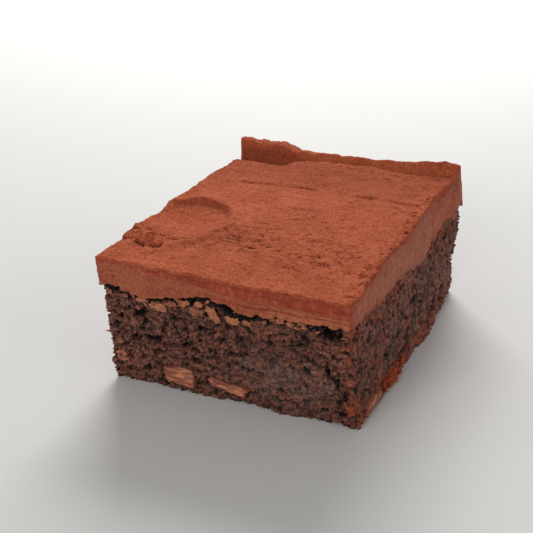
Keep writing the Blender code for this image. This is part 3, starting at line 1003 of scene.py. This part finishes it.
    # painted shade under the roll at the back left, where it leans over its hollow
    under = ease((-8.0 - x) / 8.0) * ease((y - 36.8) / 0.8) * ease((39.3 - y) / 0.9)
    painted_shade_and_tone = np.where(under > 0, np.minimum(painted_shade_and_tone + 0.45 * under, 0.56), painted_shade_and_tone)
    return z, np.clip(rough + field, 0, 1), np.clip(painted_shade_and_tone, 0, 1)


def build_cocoa():
    nx, ny = 256, 292
    # closer lines towards the edges
    g = lambda t: 1.12 * t - 0.12 * t**3
    a = g(np.linspace(-1, 1, nx + 1))
    b = g(np.linspace(-1, 1, ny + 1))
    A, B = np.meshgrid(a, b, indexing="ij")
    z_edge = top_height(A * WIDTH / 2, B * DEPTH / 2)
    x, y = onto(A, B, z_edge, -0.10)
    z, rough, painted_shade_and_tone = powder_height(x, y)

    # the roll at the back leans forward over its hollow
    lean = ease((-9.0 - x) / 7.0) * bump((y - 39.4) / 0.9, 1.0)
    y = y - 0.9 * lean
    z = z - 0.15 * lean

    # uneven rim: lumps of powder pushed to the edge and over it
    from_edge = np.minimum.reduce(
        [(A + 1) * WIDTH / 2, (1 - A) * WIDTH / 2, (B + 1) * DEPTH / 2, (1 - B) * DEPTH / 2]
    )
    p = np.stack([x, y, 0 * x], axis=-1)
    lip = bump((from_edge - 0.6) / 0.6, 1.0)
    z = z + lip * (0.14 + 0.26 * noise(p, 3.4, 371) + 0.16 * noise(p, 1.1, 372) + 0.10 * noise(p, 0.55, 375))
    z = z - 0.16 * ease((0.4 - from_edge) / 0.4)
    push = ease((1.6 - from_edge) / 1.6)
    out = push * (0.40 * noise(p, 4.2, 373) + 0.20 * noise(p, 1.2, 374) + 0.12 * noise(p, 0.6, 376))
    x = x + out * np.where(np.abs(A) > np.abs(B), np.sign(A), 0.0)
    y = y + out * np.where(np.abs(B) >= np.abs(A), np.sign(B), 0.0)
    grid = np.stack([x, y, z], axis=-1)
    index = np.arange((nx + 1) * (ny + 1)).reshape(nx + 1, ny + 1)
    quads = np.stack(
        [index[:-1, :-1], index[1:, :-1], index[1:, 1:], index[:-1, 1:]], axis=-1
    ).reshape(-1, 4)

    # the rim in order, then the skirt that hangs down from it
    loop = np.concatenate(
        [index[:-1, 0], index[-1, :-1], index[:0:-1, -1], index[0, :0:-1]]
    )
    n = len(loop)
    points = grid.reshape(-1, 3)
    edge = points[loop]
    out_dir = np.zeros((n, 2))
    counts = (nx, ny, nx, ny)
    names = np.repeat([0, 1, 2, 3], counts)
    for k, v in enumerate(((0, -1), (1, 0), (0, 1), (-1, 0))):
        out_dir[names == k] = v
    ep = np.stack([edge[:, 0], edge[:, 1], 0 * edge[:, 0]], axis=-1)
    deep_by = 0.75 + 0.35 * noise(ep, 2.8, 381) + 0.22 * noise(ep, 1.0, 382)
    deep_by = np.clip(deep_by + np.where(names == 1, 0.25, 0.0), 0.72, 1.8)
    rows = []
    steps = 5
    for k in range(1, steps + 1):
        t = k / steps
        ring = edge.copy()
        ring[:, 2] -= deep_by * t
        bulge = 0.10 * math.sin(math.pi * min(t * 1.1, 1.0)) - 0.12 * t
        wobble = 0.06 * noise(np.stack([ring[:, 0], ring[:, 1], ring[:, 2]], -1), 0.8, 383)
        ring[:, :2] += out_dir * (bulge + wobble)[:, None]
        rows.append(ring)
    tucked = rows[-1].copy()
    tucked[:, :2] -= out_dir * 0.6
    rows.append(tucked)
    flat = tucked.copy()
    flat[:, :2] *= 0.96
    flat[:, 2] = TOP - 3.7
    rows.append(flat)
    start = len(points)
    skirt = np.concatenate(rows)
    chain = np.concatenate([loop[None, :], start + np.arange(len(rows) * n).reshape(-1, n)])
    nxt = np.roll(chain, -1, axis=1)
    more = np.stack([chain[1:], nxt[1:], nxt[:-1], chain[:-1]], axis=-1).reshape(-1, 4)
    cap = [list(reversed(chain[-1].tolist()))]
    # first tone: painted shade and darker tone of the top; second: how rough
    tones = np.stack([painted_shade_and_tone, rough, 0 * painted_shade_and_tone], axis=-1).reshape(-1, 3)
    skirt_tones = np.tile(np.array([[0.1, 0.0, 0.0]]), (len(skirt), 1))
    ramp_down = np.repeat(
        [min(1.0, k / steps) for k in range(1, steps + 1)] + [1.0, 1.0], n
    )
    skirt_tones[:, 2] = 0.85 * ramp_down
    obj = piece(
        "cocoa_powder",
        np.concatenate([points, skirt]),
        np.concatenate([quads, more]),
        cap,
        tones=np.concatenate([tones, skirt_tones]),
        mat=cocoa_mat,
    )
    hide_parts("cocoa_dusting")


build_cocoa()


# ---------------------------------------------------------- chocolate pieces
def block(cuts):
    """Points and quads of a cube from -1 to 1, cut this many times."""
    bm = bmesh.new()
    bmesh.ops.create_cube(bm, size=2.0)
    bmesh.ops.subdivide_edges(bm, edges=bm.edges[:], cuts=cuts, use_grid_fill=True)
    bm.verts.ensure_lookup_table()
    points = np.array([v.co[:] for v in bm.verts])
    quads = np.array([[v.index for v in f.verts] for f in bm.faces])
    bm.free()
    return points, quads


def chocolate(name, node, side, along, height, length, tall, depth, tilt, out, seed, red):
    """One broken piece, with long grooves where the knife went through it."""
    cube, quads = block(26)
    p = cube.copy()
    # rounded box: pull the corners in
    reach = np.linalg.norm(p, axis=1, keepdims=True)
    p = p * (1 - 0.10 * ease((reach - 1.15) / 0.55))
    p = p * np.array([length / 2, depth / 2, tall / 2])
    q = p + 31.0 * seed
    way = np.arctan2(cube[:, 2], cube[:, 0])
    ring = np.stack([np.cos(way), np.sin(way), 0 * way + 1.9 * seed], -1)
    p[:, 0] *= 0.96 + 0.16 * layered(ring, 0.9, 3, 408, 0.6)
    p[:, 2] *= 0.96 + 0.20 * layered(ring, 0.9, 3, 409, 0.6)
    ends = np.abs(cube[:, 0]) ** 2
    p[:, 0] += 0.5 * noise(q * np.array([0.2, 1, 1]), 1.8, 401) * ends
    p[:, 2] += 0.24 * noise(q * np.array([0.8, 0.4, 0.2]), 3.4, 402)
    p[:, 2] += 0.10 * length / 5 * ends * np.sign(cube[:, 2]) * -1.6 * noise(q, 4.0, 407)
    p[:, 2] += 0.16 * noise(q, 1.1, 403)
    grooves = noise(q * np.array([0.10, 1.0, 1.0]), 0.62, 404)
    ripple = noise(q * np.array([0.35, 1.0, 1.0]), 1.7, 405)
    face = ease((-cube[:, 1] - 0.5) / 0.5)
    p[:, 1] += face * (0.24 * grooves + 0.26 * ripple + 0.06 * noise(q, 0.5, 406))
    angle = math.radians(tilt)
    turn = np.array(
        [
            [math.cos(angle), 0, -math.sin(angle)],
            [0, 1, 0],
            [math.sin(angle), 0, math.cos(angle)],
        ]
    )
    p = p @ turn.T
    if side == "front":
        y = float(front_y(along, height)) + CRUMB_INSET - out + depth / 2
        p = p + np.array([along, y, height])
    else:
        x = float(right_x(along, height)) - CRUMB_INSET + out - depth / 2
        p = np.stack([-p[:, 1], p[:, 0], p[:, 2]], axis=-1) + np.array([x, along, height])
    p[:, 2] = np.maximum(p[:, 2], 0.15)
    rim_dark = np.clip(
        ease((np.abs(cube[:, 0]) - 0.86) / 0.12) + ease((np.abs(cube[:, 2]) - 0.80) / 0.18), 0, 1
    )
    tones = np.stack([0.5 + 0.5 * grooves, 0.8 * rim_dark, 0 * rim_dark], axis=-1)
    if red:
        tones = np.stack([0 * rim_dark + 0.15, 0 * rim_dark, 0 * rim_dark], axis=-1)
    mat = cocoa_mat if red else chocolate_mat
    obj = piece(name, p, quads, [], tones=tones, mat=mat)
    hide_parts(node)
    return obj


chocolate("chocolate_front_a", "chunk_front_a", "front", -14.0, 4.6, 9.6, 5.6, 6.0, 4.0, 0.40, 1, False)
chocolate("chocolate_front_b", "chunk_front_b", "front", -0.2, 4.4, 11.4, 3.0, 6.0, -10.0, 0.70, 2, False)
chocolate("chocolate_left_corner", "chunk_left_corner", "front", -30.9, 7.4, 3.4, 4.2, 4.0, 12.0, 0.6, 3, False)
chocolate("chocolate_side_a", "chunk_side_a", "right", -27.8, 2.2, 11.0, 3.4, 5.0, 0.0, 1.0, 4, False)


# ------------------------------------------------------------- small scatter
def ball(cuts):
    points, quads = block(cuts)
    return points / np.linalg.norm(points, axis=1, keepdims=True), quads


def scatter(name, spots, sizes, squash, seed, mat, rough=0.35, cuts=3, tones=None):
    """Small uneven lumps joined in one mesh. spots are their middles in mm."""
    ball_points, ball_quads = ball(cuts)
    count = len(spots)
    local = np.random.default_rng(seed)
    place, quads, tone = [], [], []
    for k in range(count):
        spin = Matrix.Rotation(local.uniform(0, 6.28), 3, "X") @ Matrix.Rotation(
            local.uniform(0, 6.28), 3, "Z"
        )
        stretch = np.array([1.0, local.uniform(0.6, 1.0), local.uniform(*squash)])
        p = ball_points * (
            1 + rough * noise(ball_points + 17.0 * k, 0.8, seed)[:, None]
        )
        p = (p * stretch * sizes[k]) @ np.array(spin).T + spots[k]
        p[:, 2] = np.maximum(p[:, 2], 0.02)
        quads.append(ball_quads + k * len(ball_points))
        place.append(p)
        row = tones[k] if tones is not None else (0.6, 0.0, 0.0)
        tone.append(np.tile(np.array([row], float), (len(p), 1)))
    obj = piece(
        name, np.concatenate(place), np.concatenate(quads), [], tones=np.concatenate(tone), mat=mat
    )
    return obj


def on_crumb(count, test, seed, sink):
    """Places on the crumb's own surface that pass the test."""
    local = np.random.default_rng(seed)
    rows, cols = crumb_surface.shape[:2]
    spots, ways = [], []
    tries = 0
    while len(spots) < count and tries < count * 60:
        tries += 1
        r, c = int(local.integers(1, rows - 1)), int(local.integers(0, cols))
        p = crumb_surface[r, c]
        if local.uniform() < test(p, crumb_sides[c]):
            spots.append(p + crumb_normals[r, c] * sink)
            ways.append(crumb_normals[r, c])
    return np.array(spots), np.array(ways)


# dark crumbs clinging to the cut sides
spots, _ = on_crumb(
    620, lambda p, s: 0.25 if s == 1 else 0.8 if s == 0 else 0.6, 11, -0.02
)
sizes = rng.uniform(0.18, 0.52, len(spots))
scatter("crumb_bits", spots, sizes, (0.5, 0.9), 12, crumb_mat,
        tones=[(v, 0.15 if v < 0.5 else 0.0, 0.2) for v in rng.uniform(0.4, 1.0, len(spots))])

# cocoa grains on the right cut, its corner and its foot
def cocoa_test(p, s):
    if s == 1:
        return min(
            1.0,
            0.03
            + 0.9 * math.exp(-(((p[1] + 40) / 3.0) ** 2))
            + 0.9 * math.exp(-((p[2] / 2.2) ** 2)) * (1.0 if p[1] < 12 else 0.4)
            + 0.25 * math.exp(-(((p[2] - 23) / 4.0) ** 2)),
        )
    if s == 0:
        return 0.6 if p[0] > 33.2 else 0.012
    return 0.02


spots, _ = on_crumb(520, cocoa_test, 21, -0.02)
sizes = rng.uniform(0.12, 0.34, len(spots))
scatter("cocoa_grains", spots, sizes, (0.5, 0.9), 22, cocoa_mat,
        tones=[(v, 0.0, 0.25) for v in rng.uniform(0.0, 0.5, len(spots))])


def clump(name, middle, size, count, seed, node=None):
    """A loose heap of cocoa-coated crumbs pressed together."""
    local = np.random.default_rng(seed)
    spots = middle + local.normal(0, 0.36, (count, 3)) * np.array(size)
    spots[:, 2] = np.clip(spots[:, 2], 0.5, None)
    sizes = local.uniform(0.45, 1.15, count)
    obj = scatter(name, spots, sizes, (0.6, 0.95), seed + 1, cocoa_mat, 0.45, 5,
                  tones=[(v, 0.0, 0.15) for v in local.uniform(0.0, 0.45, count)])
    if node:
        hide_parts(node)
    return obj


clump("cocoa_clump", np.array([35.9, -16.0, 1.9]), (1.5, 8.4, 2.6), 85, 31, "cocoa_clump_side")
clump("cocoa_clump_corner", np.array([33.2, -37.2, 5.2]), (2.6, 0.9, 2.0), 22, 33)


# ---------------------------------------------------------------- crust flakes
def flakes(name, spec, seed, mat):
    """Thin bent shards of papery crust. Each is (x, z, length, height, tilt,
    stand-off from the crumb, shade)."""
    place, quads, tone = [], [], []
    cols, rows = 25, 13
    start = 0
    for x, z, length, tall, tilt, out, shade in spec:
        u, v = np.meshgrid(np.linspace(-1, 1, cols), np.linspace(-1, 1, rows))
        # an uneven outline: each direction reaches a different length
        way = np.arctan2(v, u)
        round_trip = np.stack([1.3 * np.cos(way), 1.3 * np.sin(way), 0 * u + 3.7 * len(place)], -1)
        reach = 0.86 + 0.34 * layered(round_trip, 1.1, 4, 501, 0.65)
        blunt = 1 - 0.16 * (np.abs(u * v)) ** 1.2
        q = np.stack([u * length / 2, v * tall / 2, 0 * u + 5.1 * len(place)], -1)
        uu = u * length / 2 * reach * blunt
        vv = v * tall / 2 * reach * blunt
        curl = 0.35 * noise(q * 0.9, 1.8, 502) + 0.22 * noise(q, 0.7, 503) + 0.20 * v * abs(v)
        angle = math.radians(tilt)
        px = x + uu * math.cos(angle) - vv * math.sin(angle)
        pz = z + uu * math.sin(angle) + vv * math.cos(angle)
        pz = pz + 0.25 * noise(np.stack([px, 0 * px, 0 * px + 2.2 * len(place)], -1), 1.5, 506)
        py = front_y(px, pz) + CRUMB_INSET - out + 0.9 * curl
        edge = np.clip(1.35 - np.maximum(np.abs(u), np.abs(v)), 0.25, 1)
        thin = (0.55 + 0.08 * noise(q, 1.0, 504)) * edge
        outer = np.stack([px, py, pz], -1).reshape(-1, 3)
        inner = np.stack([px, py + thin, pz], -1).reshape(-1, 3)
        points = np.concatenate([outer, inner])
        m = cols * rows
        idx = np.arange(m).reshape(rows, cols)
        face = np.stack([idx[:-1, :-1], idx[:-1, 1:], idx[1:, 1:], idx[1:, :-1]], -1).reshape(-1, 4)
        back = face[:, ::-1] + m
        ring = np.concatenate([idx[0, :-1], idx[:-1, -1], idx[-1, :0:-1], idx[:0:-1, 0]])
        nxt = np.roll(ring, -1)
        walls = np.stack([ring, ring + m, nxt + m, nxt], -1)
        quads.append(np.concatenate([face, back, walls]) + start)
        place.append(points)
        worn = np.clip(shade + 0.9 * noise(q, 0.8, 505), 0, 1).reshape(-1)
        tone.append(np.stack([np.tile(worn, 2), 0 * np.tile(worn, 2), 0 * np.tile(worn, 2)], -1))
        start += len(points)
    obj = piece(name, np.concatenate(place), np.concatenate(quads), [],
                tones=np.concatenate(tone), mat=mat)
    return obj


shards = [
    (-17.6, 25.6, 5.4, 2.2, -5.0, 0.75, 0.85),
    (-22.6, 26.4, 3.6, 1.3, -4.0, 0.5, 0.35),
    (-13.0, 26.9, 2.4, 1.6, -8.0, 0.6, 0.25),
    (-9.6, 28.2, 3.8, 1.5, 16.0, 0.8, 0.7),
    (-5.6, 28.8, 3.0, 1.2, 2.0, 0.8, 0.8),
    (-1.9, 26.9, 5.4, 2.6, -46.0, 0.95, 0.7),
    (-6.4, 26.2, 4.6, 2.6, 8.0, 0.45, 0.12),
    (3.6, 25.9, 4.2, 2.0, -10.0, 0.75, 0.85),
    (7.2, 25.6, 2.6, 1.4, -22.0, 0.6, 0.55),
    (16.4, 28.6, 2.4, 1.2, 10.0, 0.7, 0.75),
    (19.0, 28.3, 2.0, 1.1, -14.0, 0.7, 0.85),
    (22.6, 28.2, 1.6, 0.9, -5.0, 0.6, 0.6),
    (-28.0, 26.6, 2.6, 1.1, 5.0, 0.45, 0.15),
    (-32.4, 27.0, 2.2, 1.2, -10.0, 0.5, 0.2),
    (12.2, 27.4, 1.6, 0.8, 20.0, 0.5, 0.5),
    (-1.5, 20.4, 1.9, 1.2, 25.0, 0.3, 0.55),
]
local = np.random.default_rng(44)
for k in range(30):
    x = local.uniform(-33, 33)
    z = float(seam_height(x, -41.0)) - abs(local.normal(0.5, 0.9)) - 0.2
    shards.append(
        (x, z, local.uniform(0.5, 1.9), local.uniform(0.35, 0.9), local.uniform(-40, 40),
         local.uniform(0.30, 0.7), local.uniform(0.1, 0.8))
    )
flakes("crust_flakes", shards, 45, flake_mat)


# --------------------------------------------------------------------- spikes
def spike():
    """The thin curl of crumb that stands out at the left edge."""
    points, quads = block(10)
    t = (points[:, 0] + 1) / 2
    width = mix(1.3, 0.12, t**0.8)
    p = np.stack([-33.0 - 3.3 * t, -39.0 + points[:, 1] * width * 0.5, 13.9 + points[:, 2] * width * 0.55], -1)
    p[:, 2] += -0.6 * t**2 + 0.15 * noise(p, 0.8, 601)
    tones = np.tile(np.array([[0.8, 0.35, 0.1]]), (len(p), 1))
    quads = quads[:, ::-1]
    obj = piece("crumb_curl", p, quads, [], tones=tones, mat=crumb_mat)


spike()


# -------------------------------------------------------- floor, light, camera
def build_stage():
    size = 1.6
    mesh = bpy.data.meshes.new("floor")
    bm = bmesh.new()
    bmesh.ops.create_grid(bm, x_segments=2, y_segments=2, size=size)
    bm.to_mesh(mesh)
    bm.free()
    floor = bpy.data.objects.new("floor", mesh)
    floor.location = (0, 0, -0.0001)
    bpy.context.scene.collection.objects.link(floor)
    p = Paint("floor_finish")
    p.colour((0.62, 0.61, 0.59, 1.0))
    p.roughness(0.85)
    mesh.materials.append(p.mat)

    world = bpy.data.worlds.new("studio")
    world.use_nodes = True
    background = world.node_tree.nodes["Background"]
    background.inputs["Color"].default_value = (1.0, 1.0, 1.0, 1.0)
    background.inputs["Strength"].default_value = 0.34
    bpy.context.scene.world = world


def lamp(name, place, aim, size, power):
    data = bpy.data.lights.new(name, "AREA")
    data.shape = "RECTANGLE"
    data.size, data.size_y = size
    data.energy = power
    data.color = (1.0, 1.0, 1.0)
    obj = bpy.data.objects.new(name, data)
    obj.location = place
    way = Vector(aim) - Vector(place)
    obj.rotation_euler = way.to_track_quat("-Z", "Y").to_euler()
    bpy.context.scene.collection.objects.link(obj)


build_stage()
lamp("window", (-0.22, 0.62, 0.50), (0, 0, 0.02), (0.50, 0.32), 7.2)
lamp("fill_front", (-0.10, -0.80, 0.42), (0, 0, 0.02), (0.6, 0.4), 2.7)
lamp("fill_right", (0.80, -0.10, 0.40), (0, 0, 0.02), (0.5, 0.4), 0.9)


def build_camera():
    azimuth, elevation, turn = 0.46208, 0.47411, -0.04363
    distance, focal = 326.669, 1000.0
    target = Vector((-23.649 + SHIFT_X, 33.694, 0.0))
    back = Vector(
        (
            math.sin(azimuth) * math.cos(elevation),
            -math.cos(azimuth) * math.cos(elevation),
            math.sin(elevation),
        )
    )
    right = (-back).cross(Vector((0, 0, 1))).normalized()
    up = right.cross(-back).normalized()
    r2 = right * math.cos(turn) + up * math.sin(turn)
    u2 = -right * math.sin(turn) + up * math.cos(turn)
    data = bpy.data.cameras.new("camera")
    data.sensor_width = 36.0
    data.lens = focal * 36.0 / 533.0
    data.clip_start, data.clip_end = 0.01, 20.0
    obj = bpy.data.objects.new("camera", data)
    place = (target + back * distance) * MM
    turned = Matrix((r2, u2, back)).transposed().to_4x4()
    obj.matrix_world = Matrix.Translation(place) @ turned
    bpy.context.scene.collection.objects.link(obj)
    bpy.context.scene.camera = obj


build_camera()

scene = bpy.context.scene
scene.view_settings.view_transform = "Standard"
